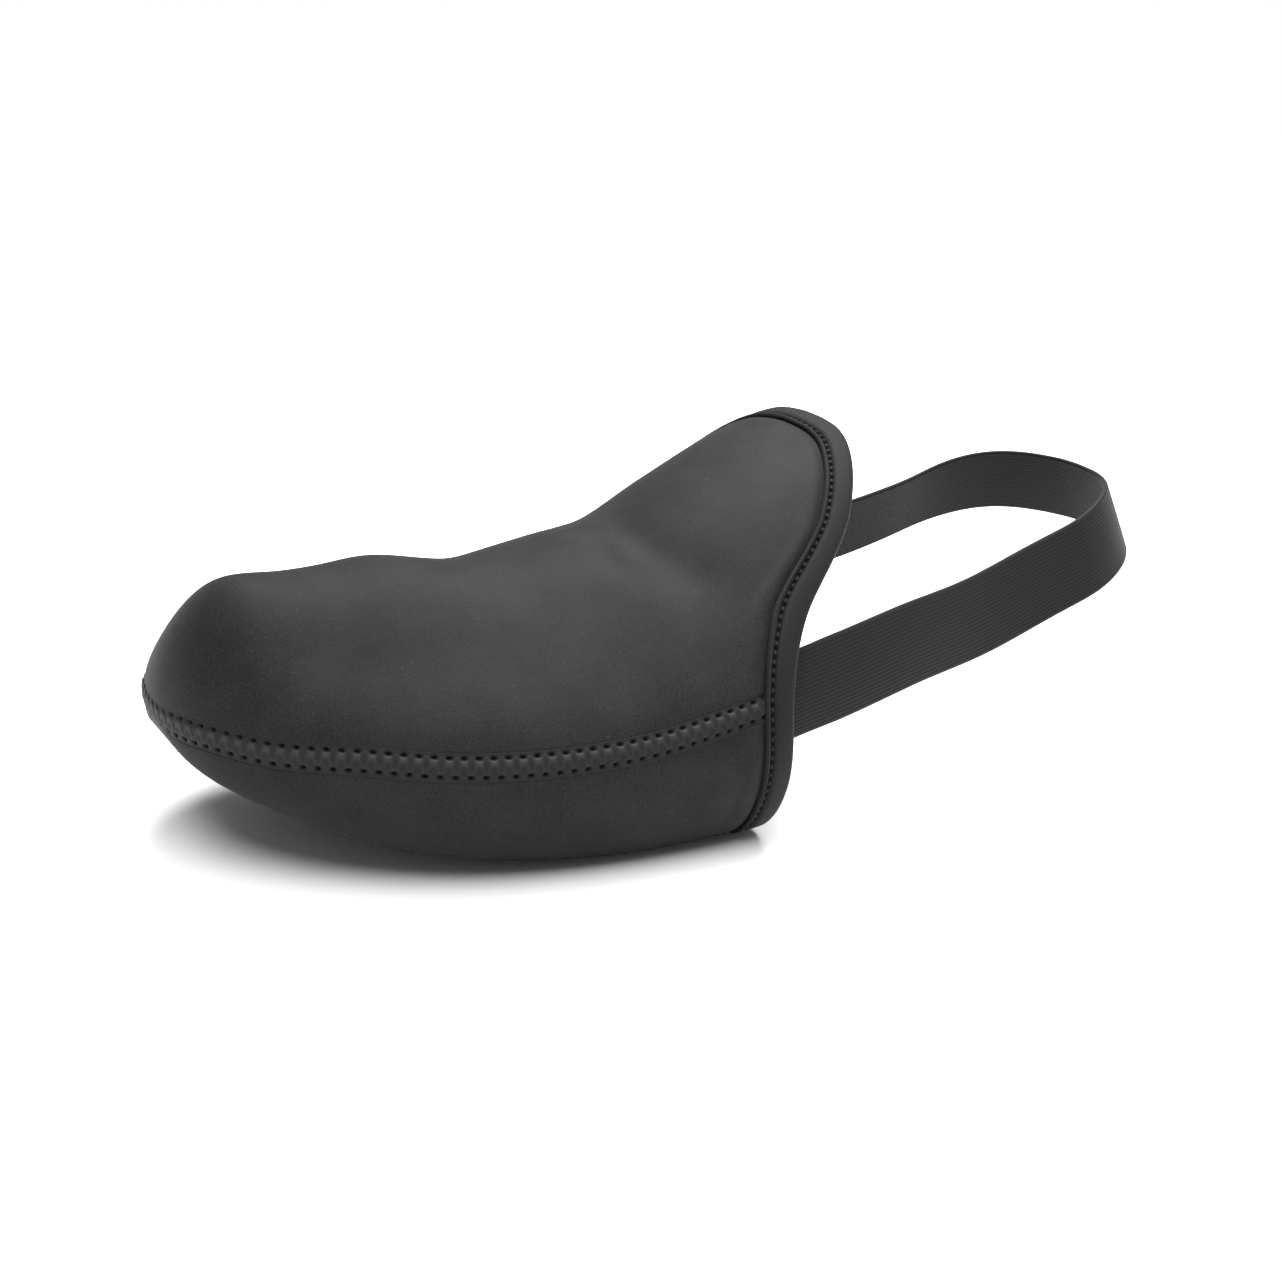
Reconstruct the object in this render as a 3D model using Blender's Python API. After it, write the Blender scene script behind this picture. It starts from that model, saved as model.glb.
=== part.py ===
"""Cycling overshoe: a neoprene toe cover with a bound opening and an elastic heel strap.

Metres. The toe points to -X, the heel to +X and the outer side of the left foot to -Y, with +Z up.
The form is a last: sections across the foot, from the toe tip to the opening over the instep.
Every piece takes its surface from that one last, so a changed size moves them together.
"""
import math

import bmesh
import bpy
from mathutils import Vector

# Sizes of the cover, as worn and standing on the floor
TOP_LENGTH = 0.176          # toe tip to the opening, along the top
SOLE_LENGTH = 0.135         # toe tip to the opening, along the underside
BALL_WIDTH = 0.110
INSTEP_HEIGHT = 0.0947      # top of the opening above the floor
TOE_SPRING = 0.0327         # height of the toe tip above the floor
TOE_OFFSET = 0.010          # how far the toe tip lies towards the inner side
CORNER_SHARE = 0.32         # width of the rounded lower corner, as a share of the half width
NEOPRENE = 0.003            # wall of the upper and of the sole
GAP = 0.0003                # clearance between pieces that touch

# Binding folded over the edge of the opening
BINDING_WIDTH = 0.009
BINDING_TAPE = 0.0009
BINDING_RAISE = 0.0005      # how far its band stands over the neoprene
RIDGE_WIDTH = 0.0013        # turned-under front edge of the tape
RIDGE_RAISE = 0.0009
GROOVE_WIDTH = 0.0016       # where the stitches draw the tape in

# Elastic strap, sewn in behind the opening and worn round the heel
STRAP_WIDTH = 0.021
STRAP_THICKNESS = 0.0015
STRAP_TUCK = 0.014          # length of each end inside the opening
STRAP_SIDE_HEIGHT = 0.0407  # middle of the strap where it leaves the opening
STRAP_HEEL_HEIGHT = 0.0683  # middle of the strap behind the heel
HEEL_LENGTH = 0.2773        # toe tip to the back of the strap
HEEL_WIDTH = 0.071          # across the strap at the heel
HEEL_LEAN = math.radians(25)    # of the strap behind the heel, its upper edge inwards

# Sections of the last. Shares: along of TOP_LENGTH; outer and inner of half the ball width;
# under of TOE_SPRING; crest of the rise from toe tip to instep; widest and seam of the height
# from under to crest. Pinch flattens the shoulders, and lean moves the crest to the inner side
# as a share of half the ball width.
SECTION_NAMES = ("along", "outer", "inner", "under", "crest", "widest", "seam", "pinch", "lean")
SECTIONS = (
    (0.00, 0.00, 0.00, 1.00, 0.00, 0.30, 0.34, 0.02, 0.00),
    (0.02, 0.30, 0.35, 0.75, 0.25, 0.30, 0.36, 0.07, 0.00),
    (0.08, 0.52, 0.55, 0.54, 0.47, 0.26, 0.33, 0.11, 0.00),
    (0.18, 0.71, 0.71, 0.32, 0.50, 0.32, 0.41, 0.13, 0.00),
    (0.31, 0.86, 0.86, 0.14, 0.52, 0.36, 0.44, 0.13, 0.00),
    (0.44, 0.94, 0.94, 0.04, 0.51, 0.39, 0.48, 0.11, 0.00),
    (0.55, 0.98, 0.97, 0.00, 0.56, 0.38, 0.49, 0.09, 0.00),
    (0.66, 1.00, 0.98, 0.00, 0.62, 0.36, 0.51, 0.06, 0.01),
    (0.77, 1.00, 0.98, 0.00, 0.78, 0.32, 0.49, 0.03, 0.03),
    (0.88, 0.97, 0.95, 0.00, 0.92, 0.30, 0.43, 0.00, 0.07),
    (1.00, 0.90, 0.89, 0.00, 1.00, 0.30, 0.40, -0.05, 0.12),
)
TOE_BEND = 0.51             # share of TOP_LENGTH where the toe starts to bend inwards

# Rear edge of the cover: way round from the middle of the sole (0) by the seam (1) to the
# crest (2), and the share of the way from SOLE_LENGTH to TOP_LENGTH
OPENING_NAMES = ("around", "back")
OPENING = (
    (0.00, 0.00),
    (0.50, 0.00),
    (0.75, -0.02),
    (1.00, -0.02),
    (1.25, 0.18),
    (1.50, 0.69),
    (1.75, 0.97),
    (2.00, 1.00),
)

# Climb of the strap: share of its way from the opening to the back of the heel, and share of the
# rise from STRAP_SIDE_HEIGHT to STRAP_HEEL_HEIGHT
CLIMB_NAMES = ("way", "rise")
CLIMB = (
    (0.0, 0.00),
    (0.2, 0.18),
    (0.4, 0.31),
    (0.6, 0.60),
    (0.8, 0.94),
    (1.0, 1.00),
)

# Counts of faces
ROWS = 18                   # along the cover, in front of the binding
UNDER_STEPS = 9             # from the middle of the sole to the seam
OVER_STEPS = 13             # from the seam to the crest
FOLD_STEPS = 5              # round the rear fold of the binding
SIDE_STEPS = 11             # of the strap, from the opening to the heel
HEEL_STEPS = 7              # of the strap, round half of the heel
TUCK_STEPS = 4
STRAP_CUTS = 4              # across the strap

OUTER, INNER = -1, 1        # sides of the foot, by the sign of Y


def column(names, rows, name):
    """One named column of a table, as a list."""
    place = names.index(name)
    return [row[place] for row in rows]


def smooth_through(places, values, at):
    """Smooth curve through a column's values: a cubic whose slopes come from three points each."""
    last = len(places) - 1
    gaps = [places[i + 1] - places[i] for i in range(last)]
    rises = [(values[i + 1] - values[i]) / gaps[i] for i in range(last)]
    step = next((i for i in range(last) if at < places[i + 1]), last - 1)

    def slope(i):
        if i == 0:
            return rises[0]
        if i == last:
            return rises[-1]
        return (rises[i - 1] * gaps[i] + rises[i] * gaps[i - 1]) / (gaps[i] + gaps[i - 1])

    u = (at - places[step]) / gaps[step]
    return (values[step] * (1 + 2 * u) * (1 - u) ** 2
            + values[step + 1] * u * u * (3 - 2 * u)
            + gaps[step] * u * (1 - u) * ((1 - u) * slope(step) - u * slope(step + 1)))


def turn(along):
    """Share of the length as an angle share, which keeps the toe tip round."""
    return math.acos(1.0 - min(max(along, 0.0), 1.0)) * 2 / math.pi


TURNS = [turn(along) for along in column(SECTION_NAMES, SECTIONS, "along")]
AROUNDS = column(OPENING_NAMES, OPENING, "around")
BACKS = column(OPENING_NAMES, OPENING, "back")


def share(name, along):
    """A column of SECTIONS at any share of the length."""
    return smooth_through(TURNS, column(SECTION_NAMES, SECTIONS, name), turn(along))


def opening_x(around):
    """Where the cover ends, at one place round its opening."""
    return SOLE_LENGTH + smooth_through(AROUNDS, BACKS, around) * (TOP_LENGTH - SOLE_LENGTH)


def lift(x, around):
    """Rise of the underside near the opening, which lets the binding lie on the floor."""
    ramp = min(max((x - SOLE_LENGTH) / BINDING_WIDTH + 2.5, 0.0) / 1.5, 1.0)
    low = min(max(1.0 - around, 0.0) / 0.4, 1.0)
    return RIDGE_RAISE * ramp * ramp * (3 - 2 * ramp) * low * low * (3 - 2 * low)


def section_sizes(x, side):
    """Sizes of the section at x, for one side of the foot."""
    along = x / TOP_LENGTH
    half = BALL_WIDTH / 2
    under = max(share("under", along), 0.0) * TOE_SPRING
    crest = TOE_SPRING + share("crest", along) * (INSTEP_HEIGHT - TOE_SPRING)
    return {
        "width": max(share("outer" if side == OUTER else "inner", along), 0.0) * half,
        "under": under,
        "crest": crest,
        "widest": under + share("widest", along) * (crest - under),
        "seam": share("seam", along),
        "split": share("widest", along),
        "pinch": share("pinch", along),
        "lean": share("lean", along) * half,
        "centre": TOE_OFFSET * max(1 - along / TOE_BEND, 0.0) ** 2,
    }


def seam_turn(section):
    """Angle over the widest line at which the section meets the seam, as a share of a quarter."""
    rise = (section["seam"] - section["split"]) / (1 - section["split"])
    rise = min(max(rise, 0.0), 1.0)
    pull = 1 - section["pinch"] * 4 * rise * rise * (1 - rise * rise)
    return math.asin(min(rise / pull, 1.0)) * 2 / math.pi


def last_point(x, around, side):
    """Point of the last at x; around is 0 under the foot, 1 on the seam and 2 on the crest."""
    section = section_sizes(x, side)
    width = section["width"]
    reach = 1 + seam_turn(section)
    way = around * reach if around <= 1 else reach + (around - 1) * (2 - reach)
    if way < 1:
        corner = CORNER_SHARE * width
        flat = min(2 * way, 1.0) * (width - corner)
        angle = max(2 * way - 1, 0.0) * math.pi / 2
        y = flat + corner * math.sin(angle)
        z = section["widest"] - (section["widest"] - section["under"]) * math.cos(angle)
    else:
        angle = (way - 1) * math.pi / 2
        pull = 1 - section["pinch"] * math.sin(2 * angle) ** 2
        y = width * math.cos(angle) * pull
        z = section["widest"] + (section["crest"] - section["widest"]) * math.sin(angle) * pull
        over = min(max(math.sin(angle) * pull, 0.0), 1.0)
        y += side * section["lean"] * over ** 1.5
    return Vector((x, side * y + section["centre"], z + lift(x, around)))


def ring_places(first, last):
    """Places round the last from one around value over the outer side and back on the inner side."""
    steps = UNDER_STEPS if min(first, last) < 1 else OVER_STEPS
    half = [first + (last - first) * i / steps for i in range(steps + 1)]
    return [(around, OUTER) for around in half] + [(around, INNER) for around in half[-2::-1]]


def row_shares():
    """Shares of the way from the toe tip to the binding, closer together at the tip."""
    return [1 - math.cos(math.pi / 2 * i / ROWS) for i in range(1, ROWS + 1)]


def from_edge(around, side, back):
    """Place along the foot at a distance in front of the opening's edge, measured square to it."""
    step = 0.02
    low, high = max(around - step, 0.0), min(around + step, 2.0)
    edge = opening_x(around)
    across = (last_point(edge, high, side) - last_point(edge, low, side)).length
    slant = math.hypot(opening_x(high) - opening_x(low), across) / across
    return edge - back * slant


def surface_normal(x, around, side):
    """Outward direction of the last, from small steps along and round it."""
    step = TOP_LENGTH / 350
    stride = 0.02
    ahead = last_point(x + step, around, side) - last_point(max(x - step, step), around, side)
    up = min(around + stride, 2.0)
    down = max(around - stride, 0.0)
    if up >= 2.0:
        across = last_point(x, down, -side) - last_point(x, down, side)
    elif down <= 0.0:
        across = last_point(x, up, side) - last_point(x, up, -side)
    else:
        across = last_point(x, up, side) - last_point(x, down, side)
    normal = across.cross(ahead) * side
    return normal.normalized()


def inside_point(x, around, side, depth):
    """Point at a depth under the surface of the last."""
    return last_point(x, around, side) - surface_normal(x, around, side) * depth


def add_object(name, mesh, material):
    """Object of a finished bmesh, shaded smooth with its hard edges kept."""
    bmesh.ops.recalc_face_normals(mesh, faces=mesh.faces)
    data = bpy.data.meshes.new(name)
    mesh.to_mesh(data)
    mesh.free()
    data.materials.append(material)
    data.shade_smooth()
    data.set_sharp_from_angle(angle=math.radians(40))
    piece = bpy.data.objects.new(name, data)
    bpy.context.scene.collection.objects.link(piece)
    return piece


def add_material(name, colour, roughness):
    """Principled material of one piece."""
    material = bpy.data.materials.new(name)
    material.use_nodes = True
    shader = material.node_tree.nodes["Principled BSDF"]
    shader.inputs["Base Color"].default_value = (*colour, 1.0)
    shader.inputs["Roughness"].default_value = roughness
    shader.inputs["Metallic"].default_value = 0.0
    return material


def shell_from_layers(name, tips, outer_rows, inner_rows, material):
    """Closed shell: an outer and an inner skin that each start at a tip, joined by their rims."""
    mesh = bmesh.new()
    skins = []
    for tip, rows in zip(tips, (outer_rows, inner_rows)):
        skins.append([[mesh.verts.new(tip)]] + [[mesh.verts.new(p) for p in row] for row in rows])
    for skin in skins:
        tip = skin[0][0]
        for a, b in zip(skin[1], skin[1][1:]):
            mesh.faces.new((tip, a, b))
        for row, following in zip(skin[1:], skin[2:]):
            for i in range(len(row) - 1):
                mesh.faces.new((row[i], following[i], following[i + 1], row[i + 1]))
    outer, inner = skins
    for i in range(len(outer[-1]) - 1):
        mesh.faces.new((outer[-1][i], outer[-1][i + 1], inner[-1][i + 1], inner[-1][i]))
    for edge in (0, -1):
        for k in range(len(outer) - 1):
            mesh.faces.new((outer[k][edge], outer[k + 1][edge], inner[k + 1][edge], inner[k][edge]))
    return add_object(name, mesh, material)


def pinched_depths():
    """Depths of the two faces of the neoprene where the binding holds it."""
    clear = BINDING_TAPE - BINDING_RAISE + GAP
    return clear, NEOPRENE - clear


def make_panel(name, rim, middle, material):
    """Neoprene panel of the last between its seam and the crest, or its seam and the underside."""
    places = ring_places(rim, middle)
    away = 1 if middle > rim else -1
    seam_shift = Vector((0, 0, away * GAP / 2))
    pinched_out, pinched_in = pinched_depths()
    layers = []
    for depth, pinched in ((0.0, pinched_out), (NEOPRENE, pinched_in)):
        rows = []
        for row_share in row_shares():
            row = []
            for around, side in places:
                x = row_share * from_edge(around, side, BINDING_WIDTH + GAP)
                row.append(inside_point(x, around, side, depth))
            rows.append(row)
        for back in (BINDING_WIDTH + GAP / 2, BINDING_TAPE + 2 * GAP + NEOPRENE / 2):
            rows.append([inside_point(from_edge(around, side, back), around, side, pinched)
                         for around, side in places])
        for row in rows:
            row[0] = row[0] + seam_shift
            row[-1] = row[-1] + seam_shift
        layers.append(rows)
    tips = [Vector((depth, TOE_OFFSET, TOE_SPRING)) + seam_shift for depth in (0.0, NEOPRENE)]
    return shell_from_layers(name, tips, layers[0], layers[1], material)


def binding_profile():
    """Section of the binding: distance in front of the opening's edge and depth, as one loop."""
    middle = NEOPRENE / 2
    outer_radius = middle + BINDING_RAISE
    inner_radius = outer_radius - BINDING_TAPE
    groove_end = BINDING_WIDTH - RIDGE_WIDTH - GROOVE_WIDTH
    edge = [
        (BINDING_WIDTH, 0.0),
        (BINDING_WIDTH - 0.2 * RIDGE_WIDTH, -0.9 * RIDGE_RAISE),
        (BINDING_WIDTH - 0.6 * RIDGE_WIDTH, -RIDGE_RAISE),
        (BINDING_WIDTH - RIDGE_WIDTH, -0.3 * BINDING_RAISE),
        (groove_end + 0.4 * GROOVE_WIDTH, 0.0),
        (groove_end, -BINDING_RAISE),
    ]
    turns = [math.pi * i / FOLD_STEPS for i in range(FOLD_STEPS + 1)]
    outside = [(outer_radius * (1 - math.sin(a)), middle - outer_radius * math.cos(a)) for a in turns]
    inside = [(outer_radius - inner_radius * math.sin(a), middle - inner_radius * math.cos(a))
              for a in reversed(turns)]
    lining = [(BINDING_WIDTH, NEOPRENE + BINDING_RAISE), (BINDING_WIDTH, middle + inner_radius)]
    return edge + outside + lining + inside + [(BINDING_WIDTH, middle - inner_radius)]


def make_binding(material):
    """Tape folded over the edge of the opening, closed into a ring."""
    half = ring_places(0, 1)[:UNDER_STEPS] + ring_places(1, 2)[:OVER_STEPS + 1]
    ring = half + [(around, INNER) for around, side in half[-2:0:-1]]
    mesh = bmesh.new()
    loops = []
    for around, side in ring:
        loops.append([mesh.verts.new(inside_point(from_edge(around, side, back), around, side, depth))
                      for back, depth in binding_profile()])
    for loop, following in zip(loops, loops[1:] + loops[:1]):
        for i in range(len(loop)):
            j = (i + 1) % len(loop)
            mesh.faces.new((loop[i], loop[j], following[j], following[i]))
    return add_object("opening_binding", mesh, material)


def around_at_height(x, side, height):
    """Way round the last at which its surface has a given height, found by halving."""
    low, high = 0.55, 2.0
    for _ in range(24):
        middle = (low + high) / 2
        if last_point(x, middle, side).z < height:
            low = middle
        else:
            high = middle
    return (low + high) / 2


def wall_spine(x, side, height):
    """Points across the strap where it lies inside the wall, from its lower to its upper edge."""
    inset = NEOPRENE + BINDING_RAISE + 2 * GAP + STRAP_THICKNESS / 2
    middle = around_at_height(x, side, height)
    spine = [inside_point(x, middle, side, inset)]
    probe = 0.01
    for way in (-1, 1):
        around = middle
        for _ in range(STRAP_CUTS // 2):
            here = inside_point(x, around, side, inset)
            speed = (inside_point(x, around + way * probe, side, inset) - here).length / probe
            around += way * STRAP_WIDTH / STRAP_CUTS / speed
            spine.insert(0 if way < 0 else len(spine), inside_point(x, around, side, inset))
    return spine


def climb(way):
    """Rise of the strap's middle at a share of its way, and its steepness there per share."""
    ways = column(CLIMB_NAMES, CLIMB, "way")
    rises = column(CLIMB_NAMES, CLIMB, "rise")
    step = 0.01
    low, high = max(way - step, 0.0), min(way + step, 1.0)
    steepness = (smooth_through(ways, rises, high) - smooth_through(ways, rises, low)) / (high - low)
    total = STRAP_HEEL_HEIGHT - STRAP_SIDE_HEIGHT
    return total * smooth_through(ways, rises, way), total * steepness


def heel_shape():
    """Place of each cut of the strap behind the heel, as (across, outward) from its middle."""
    cuts = [STRAP_WIDTH * (i / STRAP_CUTS - 0.5) for i in range(STRAP_CUTS + 1)]
    return [(cut * math.cos(HEEL_LEAN), -cut * math.sin(HEEL_LEAN)) for cut in cuts]


def strap_side(side):
    """Points across the strap at each station of one side, from its end to the back of the heel."""
    top = STRAP_SIDE_HEIGHT + STRAP_WIDTH / 2
    first = opening_x(around_at_height(SOLE_LENGTH, side, STRAP_SIDE_HEIGHT)) - STRAP_TUCK
    leave = opening_x(around_at_height(SOLE_LENGTH, side, top)) + 2 * NEOPRENE
    radius = (HEEL_WIDTH - STRAP_THICKNESS) / 2
    heel_x = HEEL_LENGTH - STRAP_THICKNESS / 2 - radius
    run = heel_x - leave
    length = run + radius * math.pi / 2
    stations = []
    for i in range(TUCK_STEPS + 1):
        x = first + (leave - first) * i / TUCK_STEPS
        drop = climb(0.0)[1] * (leave - x) / length
        stations.append(wall_spine(x, side, STRAP_SIDE_HEIGHT - drop))

    start = stations.pop()
    start_slope = (start[STRAP_CUTS // 2].y - stations[-1][STRAP_CUTS // 2].y) * TUCK_STEPS / (leave - first)
    middle = start[STRAP_CUTS // 2]
    start_shape = [(point.z - middle.z, (point.y - middle.y) * side) for point in start]

    def station(centre, outward, way):
        settled = way * way * (3 - 2 * way)
        rise, steepness = climb(way)
        ahead = Vector((outward.y * side, -outward.x * side, 0.0))
        across = (Vector((0, 0, 1)) - ahead * steepness / length).normalized()
        shape = [(a + (c - a) * settled, b + (d - b) * settled)
                 for (a, b), (c, d) in zip(start_shape, heel_shape())]
        return [Vector((*centre, middle.z + rise)) + across * up + outward * out for up, out in shape]

    for i in range(SIDE_STEPS):
        u = i / SIDE_STEPS
        y = (middle.y * (1 + 2 * u) * (1 - u) ** 2 + side * radius * u * u * (3 - 2 * u)
             + start_slope * run * u * (1 - u) ** 2)
        stations.append(station((leave + u * run, y), Vector((0, side, 0)), u * run / length))
    for i in range(HEEL_STEPS + 1):
        angle = math.pi / 2 * i / HEEL_STEPS
        outward = Vector((math.sin(angle), side * math.cos(angle), 0.0))
        centre = (heel_x + radius * outward.x, radius * outward.y)
        stations.append(station(centre, outward, (run + radius * angle) / length))
    return stations


def make_strap(material):
    """Flat elastic band from one side of the opening round the heel to the other side."""
    spines = strap_side(OUTER) + strap_side(INNER)[-2::-1]
    mesh = bmesh.new()
    loops = []
    for i, spine in enumerate(spines):
        before, after = spines[max(i - 1, 0)], spines[min(i + 1, len(spines) - 1)]
        outer, inner = [], []
        for k, point in enumerate(spine):
            across = spine[min(k + 1, STRAP_CUTS)] - spine[max(k - 1, 0)]
            half = (after[k] - before[k]).cross(across).normalized() * STRAP_THICKNESS / 2
            outer.append(point + half)
            inner.append(point - half)
        loops.append([mesh.verts.new(p) for p in outer + inner[::-1]])
    for loop, following in zip(loops, loops[1:]):
        for i in range(len(loop)):
            j = (i + 1) % len(loop)
            mesh.faces.new((loop[i], loop[j], following[j], following[i]))
    for end in (loops[0], loops[-1]):
        for k in range(STRAP_CUTS):
            mesh.faces.new((end[k], end[k + 1], end[-2 - k], end[-1 - k]))
    return add_object("heel_strap", mesh, material)


def set_down(pieces):
    """Hang the pieces on one empty whose origin is under the middle of their common box."""
    corners = [vertex.co for piece in pieces for vertex in piece.data.vertices]
    low = [min(corner[k] for corner in corners) for k in range(3)]
    high = [max(corner[k] for corner in corners) for k in range(3)]
    frame = bpy.data.objects.new("overshoe", None)
    bpy.context.scene.collection.objects.link(frame)
    frame.location = (-(low[0] + high[0]) / 2, -(low[1] + high[1]) / 2, -low[2])
    for piece in pieces:
        piece.parent = frame


def build():
    for old in list(bpy.data.objects):
        bpy.data.objects.remove(old, do_unlink=True)
    neoprene = add_material("neoprene", (0.028, 0.028, 0.029), 0.78)
    sole_neoprene = add_material("sole_neoprene", (0.026, 0.026, 0.027), 0.8)
    tape = add_material("binding_tape", (0.032, 0.032, 0.033), 0.7)
    elastic = add_material("ribbed_elastic", (0.034, 0.034, 0.035), 0.75)
    pieces = [
        make_panel("upper", 1, 2, neoprene),
        make_panel("sole", 1, 0, sole_neoprene),
        make_binding(tape),
        make_strap(elastic),
    ]
    set_down(pieces)


build()
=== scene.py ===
"""Looks of the cycling overshoe: stretched neoprene, overlocked seam, bound opening and elastic.

Metres. The toe points to -X, the outer side of the left foot to -Y, and the floor is at z = 0.
"""

import math

import bmesh
import bpy
import numpy as np
from mathutils import Matrix, Vector
from mathutils.bvhtree import BVHTree
from mathutils.kdtree import KDTree


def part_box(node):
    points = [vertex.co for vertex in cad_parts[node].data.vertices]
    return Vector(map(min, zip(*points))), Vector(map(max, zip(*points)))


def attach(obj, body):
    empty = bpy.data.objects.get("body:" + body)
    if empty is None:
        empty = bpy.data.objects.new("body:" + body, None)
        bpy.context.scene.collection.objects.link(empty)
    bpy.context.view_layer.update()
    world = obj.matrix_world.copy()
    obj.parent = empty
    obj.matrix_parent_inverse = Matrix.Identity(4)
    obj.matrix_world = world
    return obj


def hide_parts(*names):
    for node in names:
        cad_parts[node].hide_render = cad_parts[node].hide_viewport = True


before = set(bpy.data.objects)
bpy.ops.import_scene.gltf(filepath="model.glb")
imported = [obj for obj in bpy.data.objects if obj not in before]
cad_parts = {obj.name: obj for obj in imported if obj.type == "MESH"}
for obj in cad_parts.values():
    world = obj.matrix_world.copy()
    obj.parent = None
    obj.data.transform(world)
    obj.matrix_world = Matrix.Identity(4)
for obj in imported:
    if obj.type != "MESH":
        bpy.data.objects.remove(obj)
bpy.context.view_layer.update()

# Sizes of the cover, the same as the solids'
TOP_LENGTH = 0.176
SOLE_LENGTH = 0.135
BALL_WIDTH = 0.110
INSTEP_HEIGHT = 0.0947
TOE_SPRING = 0.0327
TOE_OFFSET = 0.010
CORNER_SHARE = 0.32
NEOPRENE = 0.003
GAP = 0.0003
BINDING_WIDTH = 0.009
BINDING_TAPE = 0.0009
BINDING_RAISE = 0.0005
RIDGE_WIDTH = 0.0013
RIDGE_RAISE = 0.0009
GROOVE_WIDTH = 0.0016
HIDDEN_END = BINDING_TAPE + 2 * GAP + NEOPRENE / 2     # from the opening's edge to the neoprene's
STRAP_WIDTH = 0.021
STRAP_THICKNESS = 0.0015
STRAP_TUCK = 0.014
STRAP_SIDE_HEIGHT = 0.0407
STRAP_HEEL_HEIGHT = 0.0683
HEEL_LENGTH = 0.2773
HEEL_WIDTH = 0.071
HEEL_LEAN = math.radians(25)

# Thread
SEAM_WIDTH = 0.0039         # between the two rows of the overlock seam
SEAM_PITCH = 0.0033
STITCH_PITCH = 0.0023       # along the binding
THREAD = 0.00042
SEAM_REACH = 0.0036         # half the width of the band that the seam draws in
SEAM_SINK = 0.0014          # how far the cloth is drawn in there, under the seam's own mesh
SEAM_END = 0.0008           # under the binding's ridge
PILLOW_RAISE = 0.00035
LOOP_RAISE = 0.00016        # of the thread's loops beside the upper row of holes
SEAM_HOLE = (0.00065, 0.00042, 0.0011)      # half length, half width and depth
BINDING_HOLE = (0.00055, 0.0007)            # radius and depth
GROOVE_SHADE = 0.0007       # half width of the painted shade line along the binding's stitch groove

# Cloth at the binding: drawn in just before it, with a soft rise in front
PINCH_START = 0.0011
PINCH_RUN = 0.0014
PUFF_RAISE = 0.0004
PUFF_PLACE = 0.0035
PUFF_RUN = 0.0022

# Sections of the last: shares as in the solids
SECTION_NAMES = ("along", "outer", "inner", "under", "crest", "widest", "seam", "pinch", "lean")
SECTIONS = (
    (0.00, 0.00, 0.00, 1.00, 0.00, 0.30, 0.34, 0.02, 0.00),
    (0.02, 0.30, 0.35, 0.75, 0.25, 0.30, 0.36, 0.07, 0.00),
    (0.08, 0.52, 0.55, 0.54, 0.47, 0.26, 0.33, 0.11, 0.00),
    (0.18, 0.71, 0.71, 0.32, 0.50, 0.32, 0.41, 0.13, 0.00),
    (0.31, 0.86, 0.86, 0.14, 0.52, 0.36, 0.44, 0.13, 0.00),
    (0.44, 0.94, 0.94, 0.04, 0.51, 0.39, 0.48, 0.11, 0.00),
    (0.55, 0.98, 0.97, 0.00, 0.56, 0.38, 0.49, 0.09, 0.00),
    (0.66, 1.00, 0.98, 0.00, 0.62, 0.36, 0.51, 0.06, 0.01),
    (0.77, 1.00, 0.98, 0.00, 0.78, 0.32, 0.49, 0.03, 0.03),
    (0.88, 0.97, 0.95, 0.00, 0.92, 0.30, 0.43, 0.00, 0.07),
    (1.00, 0.90, 0.89, 0.00, 1.00, 0.30, 0.40, -0.05, 0.12),
)
TOE_BEND = 0.51
OPENING_AROUND = (0.00, 0.50, 0.75, 1.00, 1.25, 1.50, 1.75, 2.00)
OPENING_BACK = (0.00, 0.00, -0.02, -0.02, 0.18, 0.69, 0.97, 1.00)
CLIMB_WAYS = (0.0, 0.2, 0.4, 0.6, 0.8, 1.0)
CLIMB_RISES = (0.00, 0.18, 0.31, 0.60, 0.94, 1.00)

# Soft troughs and ridges of the stretched cloth. Each runs through three places, given as a share
# of TOP_LENGTH and the way round (1 the outer seam, 2 the crest, 3 the inner seam). Width and
# height are metres, and a trough has a height below zero.
FOLDS = (
    ("flex trough", ((0.70, 2.30), (0.635, 1.88), (0.70, 1.46)), 0.0070, -0.0019),
    ("flex ridge", ((0.60, 2.05), (0.570, 1.76), (0.60, 1.52)), 0.0065, 0.0008),
    ("toe box hump", ((0.30, 2.45), (0.285, 2.10), (0.31, 1.80)), 0.0085, 0.0010),
    ("vamp hollow", ((0.42, 2.50), (0.415, 2.10), (0.43, 1.80)), 0.0090, -0.0008),
)

# Camera of the photograph
CAMERA_TURN = math.radians(-33.2)
CAMERA_RISE = math.radians(18.5)
CAMERA_ROLL = math.radians(-4.2)
CAMERA_DISTANCE = 0.4326
CAMERA_AIM = Vector((0.1232, 0.0, 0.0380))     # from the toe tip, on the floor's level
SENSOR = 36.0
LENS = 47.0

# Light
ROOM_GLOW = 0.26
SUN_POWER = 3.4
SUN_ANGLE = math.radians(50)
SUN_PLACE = (-0.20, -0.40, 1.5)                 # direction it shines from
BOX_PLACE = (0.35, 0.40, 1.35)
BOX_POWER = 40.0

BODY = "root"
WALL_AROUND = np.linspace(0.6, 1.98, 500)       # round a wall, from the underside's corner to the crest


def section_column(name):
    return np.array([row[SECTION_NAMES.index(name)] for row in SECTIONS])


def turn(along):
    """Share of the length as an angle share, which keeps the toe tip round."""
    return np.arccos(1.0 - np.clip(along, 0.0, 1.0)) * 2 / math.pi


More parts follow.
